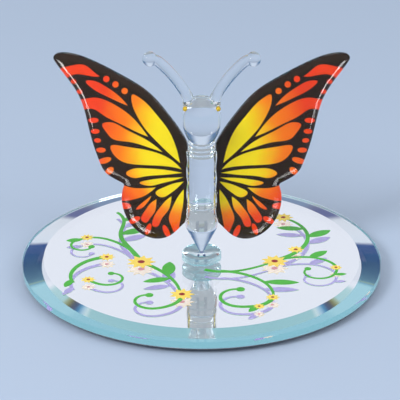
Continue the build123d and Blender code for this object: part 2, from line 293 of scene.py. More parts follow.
class Surface(Tree):
    """The nodes of a material, built on from its Principled BSDF."""

    def __init__(self, name: str) -> None:
        """Start a material.

        Args:
            name: The finish's name.
        """
        self.material = bpy.data.materials.new(name)
        self.material.use_nodes = True
        super().__init__(self.material.node_tree)
        self.shader = self.nodes["Principled BSDF"]
        self.end = self.nodes["Material Output"].inputs

    def give(self, **sources: object) -> None:
        """Supply inputs of the Principled BSDF."""
        self.supply(self.shader, **sources)

    def tone(self, **values: object) -> Socket:
        """Give the surface an uneven colour and the roughness that goes with it.

        Args:
            values: The inputs of the group.

        Returns:
            The height that goes with them.
        """
        uneven = self.group(colour_depth(), **values)
        self.give(Base_Color=uneven["Colour"], Roughness=uneven["Roughness"])
        return uneven["Height"]

    def emboss(self, height: Socket, depth: float) -> None:
        """Bend the surface's normals as if the height stood out by a depth."""
        bump = self.supply(self.add("Bump"), Distance=depth, Height=height)
        self.give(Normal=bump.outputs["Normal"])

    def leave_out_of_mirror(self) -> None:
        """Let the surface show no image in the plate below it, as the photograph shows none of the wings."""
        path = self.add("LightPath").outputs
        bounced = self.math("GREATER_THAN", path["Glossy Depth"], 0.5)
        once = self.math("COMPARE", path["Transmission Depth"], 1.0, 0.4)
        far = self.math("GREATER_THAN", path["Ray Length"], PLATE_TO_WING)
        hidden = self.math("MULTIPLY", self.math("MULTIPLY", bounced, far), self.math("SUBTRACT", 1.0, once))
        self.give(Alpha=self.math("SUBTRACT", 1.0, hidden))

    def lose_after_first_image(self) -> None:
        """Let the surface show directly and in its first image in a mirror, but not in the images of that image."""
        path = self.add("LightPath").outputs
        self.give(Alpha=self.math("LESS_THAN", path["Glossy Depth"], 1.5))

    def glaze_open_side(self, axis: int, roughness: float) -> None:
        """Give a film its gloss only where it faces the air along an axis, because glass lies against its back."""
        facing = self.split(self.add("NewGeometry").outputs["Normal"])[axis]
        self.give(Specular_IOR_Level=0.0, Coat_Roughness=roughness, Coat_Weight=self.fade(facing, *OPEN_SIDE))

    def turn_into(self, other: Node, share: Socket) -> None:
        """Put a share of another shader in the place of the surface's own."""
        blend = self.blend(share, self.end["Surface"].links[0].from_socket, other.outputs[0])
        self.links.new(blend, self.end["Surface"])

    def let_lamps_through(self) -> None:
        """Let lamps shine straight through a glass, so that the film behind it is lit."""
        self.turn_into(self.add("BsdfTransparent"), self.add("LightPath").outputs["Is Shadow Ray"])

    def paint_trapped_glow(self, colour: Rgb) -> None:
        """Paint a glow in a colour in place of the glass, where light has bounced many times between the faces of a
        plate.
        """
        trapped = self.math("GREATER_THAN", self.add("LightPath").outputs["Glossy Depth"], TRAPPED_BOUNCES + 0.5)
        self.turn_into(self.supply(self.add("Emission"), Color=linear(*colour)), trapped)


@dataclass(frozen=True)
class Finish:
    """What every finish has: a name and a way to build its material."""

    name: str

    @cache
    def material(self) -> Material:
        """Build the material, once.

        Returns:
            The material.
        """
        surface = Surface(self.name)
        self.shade(surface)
        return surface.material

    def shade(self, surface: Surface) -> None:
        """Set up the nodes of the material."""
        raise NotImplementedError


@dataclass(frozen=True)
class Glass(Finish):
    """Solid glass, drawn smooth in a flame or by a polisher."""

    tint: Rgb
    ripple: float = 0.0
    ripple_scale: float = 250.0
    depth_colour: Rgb | None = None
    density: float = 0.0
    lets_lamps_through: bool = False
    in_mirror: bool = True
    face_on: float = 1.0
    painted_trapped_glow: Rgb | None = None

    def shade(self, surface: Surface) -> None:
        """Set up the nodes.

        Args:
            surface: The material's nodes.
        """
        if not self.in_mirror:
            surface.leave_out_of_mirror()
        if self.lets_lamps_through:
            surface.let_lamps_through()
        # painted glow: light trapped in the plate is drawn as emission in a fixed colour
        if self.painted_trapped_glow:
            surface.paint_trapped_glow(self.painted_trapped_glow)
        surface.give(Base_Color=linear(*self.tint), Roughness=0.0, IOR=1.5, Transmission_Weight=1.0)
        surface.give(Specular_Tint=(self.face_on, self.face_on, self.face_on, 1.0))
        if self.ripple:
            waves = surface.group(flame_ripple(), Scale=self.ripple_scale, Stretch=0.35)
            surface.emboss(waves["Height"], self.ripple)
        if self.depth_colour:
            depth = surface.add("VolumeAbsorption")
            surface.supply(depth, Color=linear(*self.depth_colour), Density=self.density)
            surface.links.new(depth.outputs[0], surface.end["Volume"])


@dataclass(frozen=True)
class Silver(Finish):
    """The silver film behind the mirror."""

    tint: Rgb

    def shade(self, surface: Surface) -> None:
        """Set up the nodes of the material."""
        uneven = surface.group(colour_depth(), Colour=linear(*self.tint), Spread=0.01, Scale=60.0, Roughness=0.0)
        surface.give(Base_Color=uneven["Colour"], Metallic=1.0, Roughness=0.0)


@dataclass(frozen=True)
class Ink(Finish):
    """A screen print on glass, paler below in its own ground coat, with a painted glow there that brightens its image
    in the mirror.
    """

    top: Rgb
    under: Rgb
    spread: float = 0.12
    painted_under_glow: float = 0.36

    def shade(self, surface: Surface) -> None:
        """Set up the nodes.

        Args:
            surface: The material's nodes.
        """
        facing = surface.split(surface.add("NewGeometry").outputs["Normal"])[2]
        below = surface.math("LESS_THAN", facing, -0.5)
        colour = surface.mix(below, linear(*self.top), linear(*self.under))
        surface.tone(Colour=colour, Spread=self.spread, Scale=900.0, Roughness=0.45)
        surface.glaze_open_side(2, 0.35)
        surface.lose_after_first_image()
        # painted glow: the underside emits its own pale colour, so its image in the mirror shows bright
        glow = surface.mix(below, (0, 0, 0, 1), linear(*self.under))
        surface.give(Emission_Color=glow, Emission_Strength=self.painted_under_glow)


@dataclass(frozen=True)
class DarkEnamel(Finish):
    """The near-black enamel of the veins and margins."""

    colour: Rgb

    def shade(self, surface: Surface) -> None:
        """Set up the nodes.

        Args:
            surface: The material's nodes.
        """
        surface.leave_out_of_mirror()
        surface.tone(Colour=linear(*self.colour), Spread=0.25, Scale=700.0, Roughness=0.3)
        surface.glaze_open_side(1, 0.2)


@dataclass(frozen=True)
class SunsetEnamel(Finish):
    """The enamel of the cells: yellow at the wing's root, through orange, to orange-red at its margins."""

    root: Rgb
    middle: Rgb
    margin: Rgb
    root_out: float
    root_up: float
    fore_reach: Pair
    hind_reach: Pair
    hind_start: Pair = (0.0005, -0.0025)
    middle_start: Pair = (0.38, 0.72)
    margin_start: Pair = (0.68, 1.0)
    wander: float = 0.08

    def shade(self, surface: Surface) -> None:
        """Set up the nodes.

        Args:
            surface: The material's nodes.
        """
        surface.leave_out_of_mirror()
        place = surface.add("TexCoord").outputs["Object"]
        across, _, above = surface.split(place)
        out = surface.math("SUBTRACT", surface.math("ABSOLUTE", across), self.root_out)
        up = surface.math("SUBTRACT", above, self.root_up)
        fore = self.reach(surface, out, up, self.fore_reach)
        hind = self.reach(surface, out, up, self.hind_reach)
        lower = surface.fade(up, *self.hind_start)
        far = surface.math("MULTIPLY_ADD", surface.math("SUBTRACT", hind, fore), lower, fore)
        noise = surface.supply(surface.add("TexNoise"), Vector=place, Scale=160.0)
        wander = surface.math("MULTIPLY_ADD", noise.outputs["Fac"], 2 * self.wander, -self.wander)
        far = surface.math("ADD", far, wander)
        warm = surface.mix(surface.fade(far, *self.middle_start), linear(*self.root), linear(*self.middle))
        colour = surface.mix(surface.fade(far, *self.margin_start), warm, linear(*self.margin))
        surface.tone(Colour=colour, Spread=0.10, Scale=900.0, Roughness=0.4)
        surface.glaze_open_side(1, 0.2)

    @staticmethod
    def reach(tree: Tree, out: Socket, up: Socket, reach: Pair) -> Socket:
        """The distance from the root, 1 where the margin's colour is full.

        Args:
            tree: The material's tree.
            out: Distance out from the root.
            up: Distance up from the root.
            reach: The distances out and up at which the result is 1.

        Returns:
            The distance.
        """
        wide = tree.math("DIVIDE", out, reach[0])
        tall = tree.math("DIVIDE", up, reach[1])
        return tree.math("SQRT", tree.math("MULTIPLY_ADD", wide, wide, tree.math("MULTIPLY", tall, tall)))


@dataclass(frozen=True)
class Plain(Finish):
    """A paint, rubber or metal-like enamel of one colour with a fine uneven surface."""

    colour: Rgb
    roughness: float
    metallic: float = 0.0
    spread: float = 0.15
    grain: float = 0.00002

    def shade(self, surface: Surface) -> None:
        """Set up the nodes.

        Args:
            surface: The material's nodes.
        """
        colour = linear(*self.colour)
        height = surface.tone(Colour=colour, Spread=self.spread, Scale=600.0, Roughness=self.roughness)
        surface.emboss(height, self.grain)
        surface.give(Metallic=self.metallic)


PLATE_GLASS = Glass(
    "tinted_plate_glass", (247, 252, 253), depth_colour=(120, 205, 215), density=9.0, painted_trapped_glow=(176, 222, 230)
)
BODY_GLASS = Glass("clear_glass", (253, 254, 255), ripple=0.00012, ripple_scale=180.0)
PUCK_GLASS = Glass("aqua_glass", (232, 245, 248), ripple=0.00012, ripple_scale=260.0)
WING_GLASS = Glass("wing_glass", (254, 254, 254), lets_lamps_through=True, in_mirror=False, face_on=0.5)
SILVER_FILM = Silver("silver", (252, 252, 254))
BACKING_PAINT = Plain("backing_paint", (108, 112, 116), 0.6)
PAD_RUBBER = Plain("foot_pad", (205, 207, 207), 0.5, spread=0.08)
GOLD_BEAD = Plain("gold_enamel", (236, 196, 60), 0.22, metallic=0.7, spread=0.1, grain=0.0)
VEIN_ENAMEL = DarkEnamel("dark_enamel", (44, 32, 22))
CELL_ENAMEL = SunsetEnamel(
    "orange_enamel", (246, 226, 32), (249, 128, 26), (238, 68, 30),
    root_out=0.0042, root_up=0.0290, fore_reach=(0.0272, 0.052), hind_reach=(0.021, 0.0165),
)
GREEN_INK = Ink("green_ink", (72, 184, 52), (200, 184, 246))
YELLOW_INK = Ink("yellow_ink", (255, 228, 98), (255, 232, 214), 0.06, painted_under_glow=0.62)
BROWN_INK = Ink("brown_ink", (152, 14, 6), (236, 160, 168))


def put(name: str, data: ID) -> Piece:
    """Put a new object into the scene.

    Args:
        name: Its name.
        data: Its mesh, light or camera.

    Returns:
        The object.
    """
    piece = bpy.data.objects.new(name, data)
    bpy.context.scene.collection.objects.link(piece)
    return piece


def solid(name: str, points: list[Point | Vector], faces: list[tuple[int, ...]]) -> Piece:
    """Make a smooth-shaded piece from its points and faces.

    Args:
        name: The piece's name.
        points: Its points.
        faces: Its faces as point numbers.

    Returns:
        The piece.
    """
    mesh = bpy.data.meshes.new(name)
    mesh.from_pydata(points, [], faces)
    work = bmesh.new()
    work.from_mesh(mesh)
    bmesh.ops.recalc_face_normals(work, faces=work.faces)
    work.to_mesh(mesh)
    work.free()
    mesh.shade_smooth()
    return put(name, mesh)


def settle(piece: Piece, crease: float) -> None:
    """Apply a piece's modifiers and crease its sharp corners.

    Args:
        piece: The piece.
        crease: The angle in degrees from which a corner is sharp.
    """
    graph = bpy.context.evaluated_depsgraph_get()
    mesh = bpy.data.meshes.new_from_object(piece.evaluated_get(graph))
    piece.modifiers.clear()
    piece.data = mesh
    mesh.shade_smooth()
    mesh.set_sharp_from_angle(angle=radians(crease))


def smooth_track(nodes: list[Vector], steps: int) -> Track:
    """A smooth line through points, as places and directions along it.

    Args:
        nodes: The points.
        steps: How many places each stretch gets.

    Returns:
        Places and unit directions.
    """
    ends = [nodes[0] * 2 - nodes[1]] + nodes + [nodes[-1] * 2 - nodes[-2]]
    track = []
    for first, start, end, last in zip(ends, ends[1:], ends[2:], ends[3:]):
        leaving = (end - first) / 2
        arriving = (last - start) / 2
        for step in range(steps):
            t = step / steps
            place = interpolate(start, leaving, end, arriving, t)
            ahead = interpolate(start, leaving, end, arriving, t + LOOK_AHEAD)
            track.append((place, (ahead - place).normalized()))
    return track + [(nodes[-1], (nodes[-1] - track[-1][0]).normalized())]


def interpolate(start: Vector, leaving: Vector, end: Vector, arriving: Vector, t: float) -> Vector:
    """A point, a share t of the way along the cubic that leaves one point and arrives at another with given pulls."""
    blend = (2 * t ** 3 - 3 * t ** 2 + 1, t ** 3 - 2 * t ** 2 + t, 3 * t ** 2 - 2 * t ** 3, t ** 3 - t ** 2)
    return start * blend[0] + leaving * blend[1] + end * blend[2] + arriving * blend[3]


def dress(name: str, finish: Finish) -> None:
    """Give a piece its finish.

    Args:
        name: The piece's object name.
        finish: The finish.
    """
    mesh = bpy.data.objects[name].data
    mesh.materials.clear()
    mesh.materials.append(finish.material())
    log.info("dressed %s with %s", name, finish.name)


@dataclass
class FilmPiece:
    """A thin film, sunk a hair into the glass that carries it so that no air shows between them."""

    node: str
    finish: Finish
    bite: Film
    depth: float = 0.00002

    def direction(self, side: Side) -> Vector:
        """The way in which the film's carried face moves.

        Args:
            side: The side of the butterfly that the film is on.

        Returns:
            A unit vector.
        """
        if self.bite is Film.FORWARD:
            return Vector((side.value * sin(radians(WING_SWEEP)), -cos(radians(WING_SWEEP)), 0))
        return Vector((0, 0, 1 if self.bite is Film.UP else -1))

    def build(self, side: Side) -> None:
        """Make the film from its node's own shape.

        Args:
            side: The side of the butterfly that the film is on.
        """
        piece = put(self.node + "_film", bpy.data.objects[self.node].data.copy())
        way = self.direction(side)
        reaches = [vertex.co.dot(way) for vertex in piece.data.vertices]
        middle = (min(reaches) + max(reaches)) / 2
        for vertex, reach in zip(piece.data.vertices, reaches):
            if reach > middle:
                vertex.co += way * self.depth
        dress(piece.name, self.finish)
        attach(piece, "root")
        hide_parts(self.node)


@dataclass
class MirrorBase:
    """The bevelled mirror with its films and pads."""

    pads: tuple[str, ...] = ("front_left", "front_right", "back_left", "back_right")

    def build(self) -> None:
        """Dress the plate and pads and make the silver film."""
        dress("mirror_glass", PLATE_GLASS)
        dress("mirror_backing_paint", BACKING_PAINT)
        for pad in self.pads:
            dress("foot_pad_" + pad, PAD_RUBBER)
        FilmPiece("mirror_silvering", SILVER_FILM, Film.UP).build(Side.RIGHT)


@dataclass
class FlowerPrint:
    """The printed stems, leaves and daisies."""

    prints: tuple[tuple[str, Ink], ...] = (
        ("ornament_stems", GREEN_INK),
        ("ornament_leaves", GREEN_INK),
        ("ornament_daisy_petals", YELLOW_INK),
        ("ornament_daisy_centres", BROWN_INK),
    )

    def build(self) -> None:
        """Make the ink films."""
        for node, ink in self.prints:
            FilmPiece(node, ink, Film.DOWN).build(Side.RIGHT)


@dataclass
class Figure:
    """The clear body, worked in one piece of glass with its pedestal and antennae, and its eyes."""

    forward: float = BODY_FORWARD
    foot_z: float = 0.00482
    pedestal_radius: float = 0.00555
    pedestal_rib_depth: float = 0.00035
    pedestal_ribs: int = 3
    abdomen_z: float = 0.00725
    tip_radius: float = 0.0007
    tip_cuff: tuple[float, float, float] = (1.6, 1.1, 3)
    cone_top: Pair = (0.004347, 0.014644)
    belly: Pair = (0.0046, 0.016457)
    belly_pulls: Pair = (0.55, 0.5)
    waist_z: float = 0.0212
    rod_radius: float = 0.0039
    joint_round: float = 0.0006
    collar_z: float = 0.0373
    collar_root: float = 0.0034
    collar_radius: float = 0.00385
    collar_rings: int = 3
    head_z: float = 0.0410
    head_middle_z: float = 0.0480
    head_radius: float = 0.0054
    head_above: float = 0.0061
    around: int = 144
    crease: float = 38.0
    corner_steps: int = 6
    rib_steps: int = 8
    belly_steps: int = 16
    head_steps: int = 26
    antenna_rod: float = 0.0015
    antenna_around: int = 32
    antenna_steps: int = 12
    antenna_ball: float = 0.00205
    ball_segments: int = 48
    antenna_flare: float = 0.0009
    antenna_flare_reach: float = 0.0055
    antenna_spread: float = 0.0140
    antenna_rise: float = 0.0167
    antenna_shares: tuple[Pair, ...] = (
        (0.20, 0.13), (0.245, 0.26), (0.30, 0.39), (0.46, 0.605), (0.645, 0.80), (0.85, 0.965), (1.0, 1.0),
    )
    seam_turn: float = 24.0
    seam_out: float = 0.00416
    seam_radius: float = 0.00042
    seam_wander: float = 0.00008
    seam_waves: tuple[float, float, float] = (2.3, 0.9, 0.37)
    seam_swell: Pair = (0.8, 0.25)
    seam_reach: Pair = (0.0172, 0.0384)
    seam_nodes: int = 14
    seam_steps: int = 4
    seam_around: int = 16

    def build(self) -> None:
        """Make the fused glass and dress the eyes."""
        body = self.turned(self.profile())
        cutters = [make(side) for make in (self.antenna, self.ball, self.seam_bead) for side in Side]
        for cutter in cutters:
            join = body.modifiers.new("fuse", "BOOLEAN")
            join.operation, join.solver, join.object = "UNION", "EXACT", cutter
        settle(body, self.crease)
        for cutter in cutters:
            bpy.data.objects.remove(cutter)
        dress(body.name, BODY_GLASS)
        body.data.materials.append(PUCK_GLASS.material())
        for face in body.data.polygons:
            face.material_index = int(face.center.z < self.abdomen_z)
        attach(body, "root")
        beads = ["pedestal_glue", "pedestal", "abdomen", "thorax", "neck_collar", "head"]
        beads += [kind.format(side.word) for kind in ("antenna_{}", "wing_{}_seam") for side in Side]
        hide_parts(*beads)
        for side in Side:
            dress("eye_" + side.word, GOLD_BEAD)

    def profile(self) -> Outline:
        """The body's outline from its foot to its crown.

        Returns:
            Radius and height of each point.
        """
        tip = self.tip_radius
        wide, narrow, low = self.tip_cuff
        root = self.pedestal_radius - self.pedestal_rib_depth
        points = [(0.0, self.foot_z)]
        points += self.ribs(root, self.pedestal_radius, self.foot_z, self.abdomen_z, self.pedestal_ribs)
        points += [(tip * wide, self.abdomen_z), (tip * narrow, self.abdomen_z + tip / low), self.cone_top]
        points += self.belly_curve()
        points += self.notch(self.waist_z)
        points.append((self.rod_radius, self.collar_z - self.joint_round))
        points += self.notch(self.collar_z)[: self.corner_steps + 1]
        points += self.ribs(self.collar_root, self.collar_radius, self.collar_z, self.head_z, self.collar_rings)
        return points + self.skull()

    def ribs(self, root: float, crest: float, low: float, high: float, count: int) -> Outline:
        """The rounded rings of a pressed collar.

        Args:
            root: Radius between the rings.
            crest: Radius of the rings.
            low: Where the rings start.
            high: Where they end.
            count: How many rings.

        Returns:
            The outline's points.
        """
        pitch = (high - low) / count
        points = []
        for step in range(count * self.rib_steps + 1):
            swell = sin(pi * (step % self.rib_steps) / self.rib_steps)
            points.append((root + (crest - root) * swell, low + pitch * step / self.rib_steps))
        return points

    def notch(self, middle: float) -> Outline:
        """The rounded groove where two lengths of rod are fused.

        Args:
            middle: The groove's height.

        Returns:
            The outline's points.
        """
        inner = self.rod_radius - self.joint_round
        points = []
        for way in (-1, 1):
            for step in range(self.corner_steps + 1):
                angle = pi / 2 * step / self.corner_steps
                if way > 0:
                    angle = pi / 2 - angle
                height = middle + way * self.joint_round * (1 - sin(angle))
                points.append((inner + self.joint_round * cos(angle), height))
        return points

    def belly_curve(self) -> Outline:
        """The smooth curve from the tail's cone over the belly to the waist, where it is upright.

        Returns:
            The points after the cone's top.
        """
        start, middle = Vector(self.cone_top), Vector(self.belly)
        end = Vector((self.rod_radius, self.waist_z - self.joint_round))
        slope = (start - Vector((self.tip_radius, self.abdomen_z))).normalized()
        first = start + slope * (middle - start).length * self.belly_pulls[0]
        last = end - Vector((0, 1)) * (end - middle).length * self.belly_pulls[1]
        points = []
        for step in range(1, self.belly_steps + 1):
            t = step / self.belly_steps
            place = start * (1 - t) ** 3 + first * 3 * t * (1 - t) ** 2 + last * 3 * t * t * (1 - t) + end * t ** 3
            points.append((place.x, place.y))
        return points

    def skull(self) -> Outline:
        """The egg of the head.

        Returns:
            The outline's points from the neck to the crown.
        """
        neck = acos(self.collar_root / self.head_radius)
        below = (self.head_middle_z - self.head_z) / sin(neck)
        points = []
        for step in range(1 - self.head_steps, self.head_steps):
            angle = (neck if step < 0 else pi / 2) * step / self.head_steps
            tall = below if step < 0 else self.head_above
            points.append((self.head_radius * cos(angle), self.head_middle_z + tall * sin(angle)))
        return points + [(0.0, self.head_middle_z + self.head_above)]

    def turned(self, outline: Outline) -> Piece:
        """Turn the body's outline about its standing axis.

        Args:
            outline: Radius and height of each point, the first and last on the axis.

        Returns:
            The piece.
        """
        rings = outline[1:-1]
        points = [(0.0, -self.forward, outline[0][1]), (0.0, -self.forward, outline[-1][1])]
        for radius, height in rings:
            for step in range(self.around):
                angle = 2 * pi * step / self.around
                points.append((radius * cos(angle), radius * sin(angle) - self.forward, height))
        faces = []
        for step in range(self.around):
            after = (step + 1) % self.around
            faces.append((0, 2 + after, 2 + step))
            top = 2 + (len(rings) - 1) * self.around
            faces.append((1, top + step, top + after))
            for ring in range(len(rings) - 1):
                low = 2 + ring * self.around
                high = low + self.around
                faces.append((low + step, low + after, high + after, high + step))
        return solid("figure_glass", points, faces)

    def antenna(self, side: Side) -> Piece:
        """One antenna's rod, flared where it is fused to the head.

        Args:
            side: The side that it is on.

        Returns:
            The rod, closed at both ends.
        """
        nodes = [self.antenna_point(side, share) for share in self.antenna_shares]
        track = smooth_track(nodes, self.antenna_steps)
        reaches = [(place - nodes[0]).length for place, _ in track]
        flares = [max(0.0, 1 - reach / self.antenna_flare_reach) ** 2 for reach in reaches]
        widths = [self.antenna_rod + self.antenna_flare * flare for flare in flares]
        return self.rod("antenna_rod_" + side.word, track, widths, self.antenna_around)

    def seam_bead(self, side: Side) -> Piece:
        """The uneven bead of glass along the front of a wing's fused root.

        Args:
            side: The wing's side.

        Returns:
            The bead, closed at both ends.
        """
        turn = radians(self.seam_turn)
        low, high = self.seam_reach
        quick, slow, pulse = self.seam_waves
        least, swell = self.seam_swell
        nodes = []
        for step in range(self.seam_nodes + 1):
            wander = self.seam_wander * sin(step * quick + side.value) * sin(step * slow)
            out = self.seam_out + wander
            height = low + (high - low) * step / self.seam_nodes
            nodes.append(Vector((side.value * out * cos(turn), -self.forward - out * sin(turn), height)))
        track = smooth_track(nodes, self.seam_steps)
        widths = [self.seam_radius * (least + swell * sin(step * pulse + side.value)) for step in range(len(track))]
        return self.rod("seam_bead_" + side.word, track, widths, self.seam_around)

    @staticmethod
    def rod(name: str, track: Track, widths: list[float], around: int) -> Piece:
        """A rod along a track.

        Args:
            name: Its name.
            track: Places and directions along it.
            widths: Its radius at each place.
            around: How many corners each ring has.

        Returns:
            The rod, closed at both ends.
        """
        points = []
        faces = []
        for (place, along), width in zip(track, widths):
            across = along.cross(Vector((0, 1, 0))).normalized()
            beyond = along.cross(across).normalized()
            for step in range(around):
                angle = 2 * pi * step / around
                points.append(place + (across * cos(angle) + beyond * sin(angle)) * width)
        for ring in range(len(track) - 1):
            for step in range(around):
                after = (step + 1) % around
                low = ring * around
                faces.append((low + step, low + after, low + around + after, low + around + step))
        faces.append(tuple(reversed(range(around))))
        faces.append(tuple(range((len(track) - 1) * around, len(track) * around)))
        return solid(name, points, faces)

    def antenna_point(self, side: Side, share: Pair) -> Vector:
        """The point on an antenna's middle line at shares of the antenna's reach out and up."""
        out = side.value * self.antenna_spread * share[0]
        return Vector((out, -self.forward, self.head_middle_z + self.antenna_rise * share[1]))

    def ball(self, side: Side) -> Piece:
        """The ball melted on the end of an antenna.

        Args:
            side: The antenna's side.

        Returns:
            The ball.
        """
        work = bmesh.new()
        around = self.ball_segments
        bmesh.ops.create_uvsphere(work, u_segments=around, v_segments=around // 2, radius=self.antenna_ball)
        bmesh.ops.translate(work, verts=work.verts, vec=self.antenna_point(side, self.antenna_shares[-1]))
        mesh = bpy.data.meshes.new("antenna_ball")
        work.to_mesh(mesh)
        work.free()
        return put("antenna_ball_" + side.word, mesh)


@dataclass(frozen=True)
class WingFrame:
    """A wing's own axes: a point on its middle plane, and unit vectors out along it, out of its front, and up."""

    origin: Vector
    out: Vector
    front: Vector
    up: Vector

    def flat(self, point: Vector) -> Vector:
        """The place on the middle plane that a point lies over."""
        return Vector(((point - self.origin).dot(self.out), (point - self.origin).dot(self.up)))

    def depth(self, point: Vector) -> float:
        """How far a point lies in front of the middle plane."""
        return (point - self.origin).dot(self.front)

    def point(self, place: Vector, depth: float) -> Vector:
        """The point at a depth in front of a place on the middle plane."""
        return self.origin + self.out * place.x + self.up * place.y + self.front * depth


@dataclass
class Wings:
    """The two glass wings, domed towards their margins, with their enamels."""

    sweep: float = WING_SWEEP
    root_out: float = 0.0039
    forward: float = BODY_FORWARD
    half_thickness: float = 0.0011
    dome_width: float = 0.0034
    dome_power: float = 0.75
    crease: float = 50.0
    fine_step: float = 0.0003
    coarse_step: float = 0.0016
    row_share: float = 0.866
    clearance: float = 0.4
    overlap: float = 1.05
    sample_step: float = 0.00004
    seam_touch: float = 0.00003
    weld: float = 1e-7
    slack: float = 1e-6

    def build(self) -> None:
        """Make the wings' glass and the enamel films."""
        for side in Side:
            wing = "wing_" + side.word
            self.build_glass(wing + "_glass", side)
            FilmPiece(wing + "_dark_enamel", VEIN_ENAMEL, Film.FORWARD).build(side)
            FilmPiece(wing + "_colour_enamel", CELL_ENAMEL, Film.FORWARD).build(side)

    def frame_of(self, side: Side) -> WingFrame:
        """The axes of the wing on a side.

        Args:
            side: The side.

        Returns:
            The axes.
        """
        turn = radians(self.sweep)
        return WingFrame(
            Vector((side.value * self.root_out, -self.forward, 0)),
            Vector((side.value * cos(turn), sin(turn), 0)),
            Vector((side.value * sin(turn), -cos(turn), 0)),
            Vector((0, 0, 1)),
        )

    def build_glass(self, node: str, side: Side) -> None:
        """Make a wing's glass: its node's back, edge and root, with a front that domes down to the margin.

        Args:
            node: The glass's CAD node.
            side: The wing's side.
        """
        frame = self.frame_of(side)
        work = bmesh.new()
        work.from_mesh(bpy.data.objects[node].data)
        bmesh.ops.remove_doubles(work, verts=work.verts, dist=self.weld)
        bmesh.ops.recalc_face_normals(work, faces=work.faces)
        self.take_front_off(work, frame, side)
        leaning = self.put_dome_on(work, frame)
        loose = [vertex for vertex in work.verts if not vertex.link_faces]
        bmesh.ops.delete(work, geom=loose, context="VERTS")
        bmesh.ops.recalc_face_normals(work, faces=work.faces)
        normals = [leaning.get(vertex, Vector()) for vertex in work.verts]
        mesh = bpy.data.meshes.new(node + "_domed")
        work.to_mesh(mesh)
        work.free()
        mesh.shade_smooth()
        mesh.set_sharp_from_angle(angle=radians(self.crease))
        mesh.normals_split_custom_set_from_vertices(normals)
        piece = put(node + "_domed", mesh)
        dress(piece.name, WING_GLASS)
        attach(piece, "root")
        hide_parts(node)

    def take_front_off(self, work: BMesh, frame: WingFrame, side: Side) -> None:
        """Delete the faces in front of a wing's middle plane, apart from those of its root.

        Args:
            work: The wing's mesh.
            frame: Its axes.
            side: Its side.
        """
        depths = {vertex: frame.depth(vertex.co) for vertex in work.verts}
        seated = self.seated(work, side)
        raised = [
            face for face in work.faces
            if face not in seated and min(depths[vertex] for vertex in face.verts) > -self.slack
        ]
        bmesh.ops.delete(work, geom=raised, context="FACES")

    def put_dome_on(self, work: BMesh, frame: WingFrame) -> dict[BMVert, Vector]:
        """Close a wing's open front with the dome.

        Args:
            work: The wing's mesh.
            frame: Its axes.

        Returns:
            The dome's true normal at each of its new corners.
        """
        rim = self.ordered_rim(work)
        flat = [frame.flat(vertex.co) for vertex in rim]
        margin = [abs(frame.depth(vertex.co)) < 2 * self.slack for vertex in rim]
        edge = self.samples(flat, margin)
        inner = self.inner_points(flat, edge, self.samples(flat, [True] * len(flat)))
        loop = [(step, (step + 1) % len(rim)) for step in range(len(rim))]
        places, _, faces, sources, _, _ = delaunay_2d_cdt(flat + inner, loop, [list(range(len(rim)))], 1, 1e-8)
        corners = []
        leaning = {}
        for place, numbers in zip(places, sources):
            corner = next((rim[number] for number in numbers if number < len(rim)), None)
            nearest, _, inward = edge.find((place.x, place.y, 0))
            rise = self.rise(inward)
            if corner is None:
                corner = work.verts.new(frame.point(place, rise))
                away = frame.out * (nearest.x - place.x) + frame.up * (nearest.y - place.y)
                leaning[corner] = (frame.front + away * (self.slope(inward) / inward)).normalized()
            elif rise < frame.depth(corner.co):
                corner.co = frame.point(place, rise)
            corners.append(corner)
        for face in faces:
            work.faces.new([corners[number] for number in face])
        return leaning

    def rise(self, inward: float) -> float:
        """The height of the domed front over the middle of the glass, at a distance in from the margin."""
        share = min(1.0, inward / self.dome_width)
        return self.half_thickness * (share * (2 - share)) ** self.dome_power

    def slope(self, inward: float) -> float:
        """The slope of the domed front.

        Args:
            inward: The distance in from the margin, more than nothing.

        Returns:
            The rise per distance inward.
        """
        share = min(1.0, inward / self.dome_width)
        steepness = self.half_thickness * self.dome_power / self.dome_width
        return steepness * (share * (2 - share)) ** (self.dome_power - 1) * 2 * (1 - share)

    def seated(self, work: BMesh, side: Side) -> set[BMFace]:
        """The faces of a wing's root, which lie against the seam.

        Args:
            work: The wing's mesh.
            side: The wing's side.

        Returns:
            The faces.
        """
        seam = bmesh.new()
        seam.from_mesh(bpy.data.objects["wing_" + side.word + "_seam"].data)
        tree = BVHTree.FromBMesh(seam)
        seam.free()
        close = {vertex for vertex in work.verts if tree.find_nearest(vertex.co, self.seam_touch)[0]}
        axis = Vector((0, -self.forward, 0))
        seated = set()
        for face in work.faces:
            away = face.calc_center_median() - axis
            away.z = 0
            if all(vertex in close for vertex in face.verts) and face.normal.dot(away.normalized()) < -0.5:
                seated.add(face)
        return seated

    @staticmethod
    def ordered_rim(work: BMesh) -> list[BMVert]:
        """Find the corners around the large hole of a mesh, in order, and close any smaller one.

        Args:
            work: The mesh.

        Returns:
            The corners.
        """
        open_edges = {link for link in work.edges if len(link.link_faces) == 1}
        rims = []
        while open_edges:
            link = open_edges.pop()
            rim = list(link.verts)
            while rim[-1] is not rim[0]:
                link = next(link for link in rim[-1].link_edges if link in open_edges)
                open_edges.remove(link)
                rim.append(link.other_vert(rim[-1]))
            rims.append(rim[:-1])
        rims.sort(key=len)
        for rim in rims[:-1]:
            work.faces.new(rim)
        log.info("rim of %d corners, %d small holes closed", len(rims[-1]), len(rims) - 1)
        return rims[-1]

    def samples(self, flat: list[Vector], wanted: list[bool]) -> KDTree:
        """Close-set points on the wanted stretches of an outline, for reading distances from it.

        Args:
            flat: The outline's corners.
            wanted: For each corner, whether a stretch may start or end there.

        Returns:
            A tree of the points.
        """
        places = []
        for number, start in enumerate(flat):
            after = (number + 1) % len(flat)
            if wanted[number] and wanted[after]:
                count = max(1, int((flat[after] - start).length / self.sample_step))
                places += [start.lerp(flat[after], step / count) for step in range(count)]
        tree = KDTree(len(places))
        for number, place in enumerate(places):
            tree.insert((place.x, place.y, 0), number)
        tree.balance()
        return tree

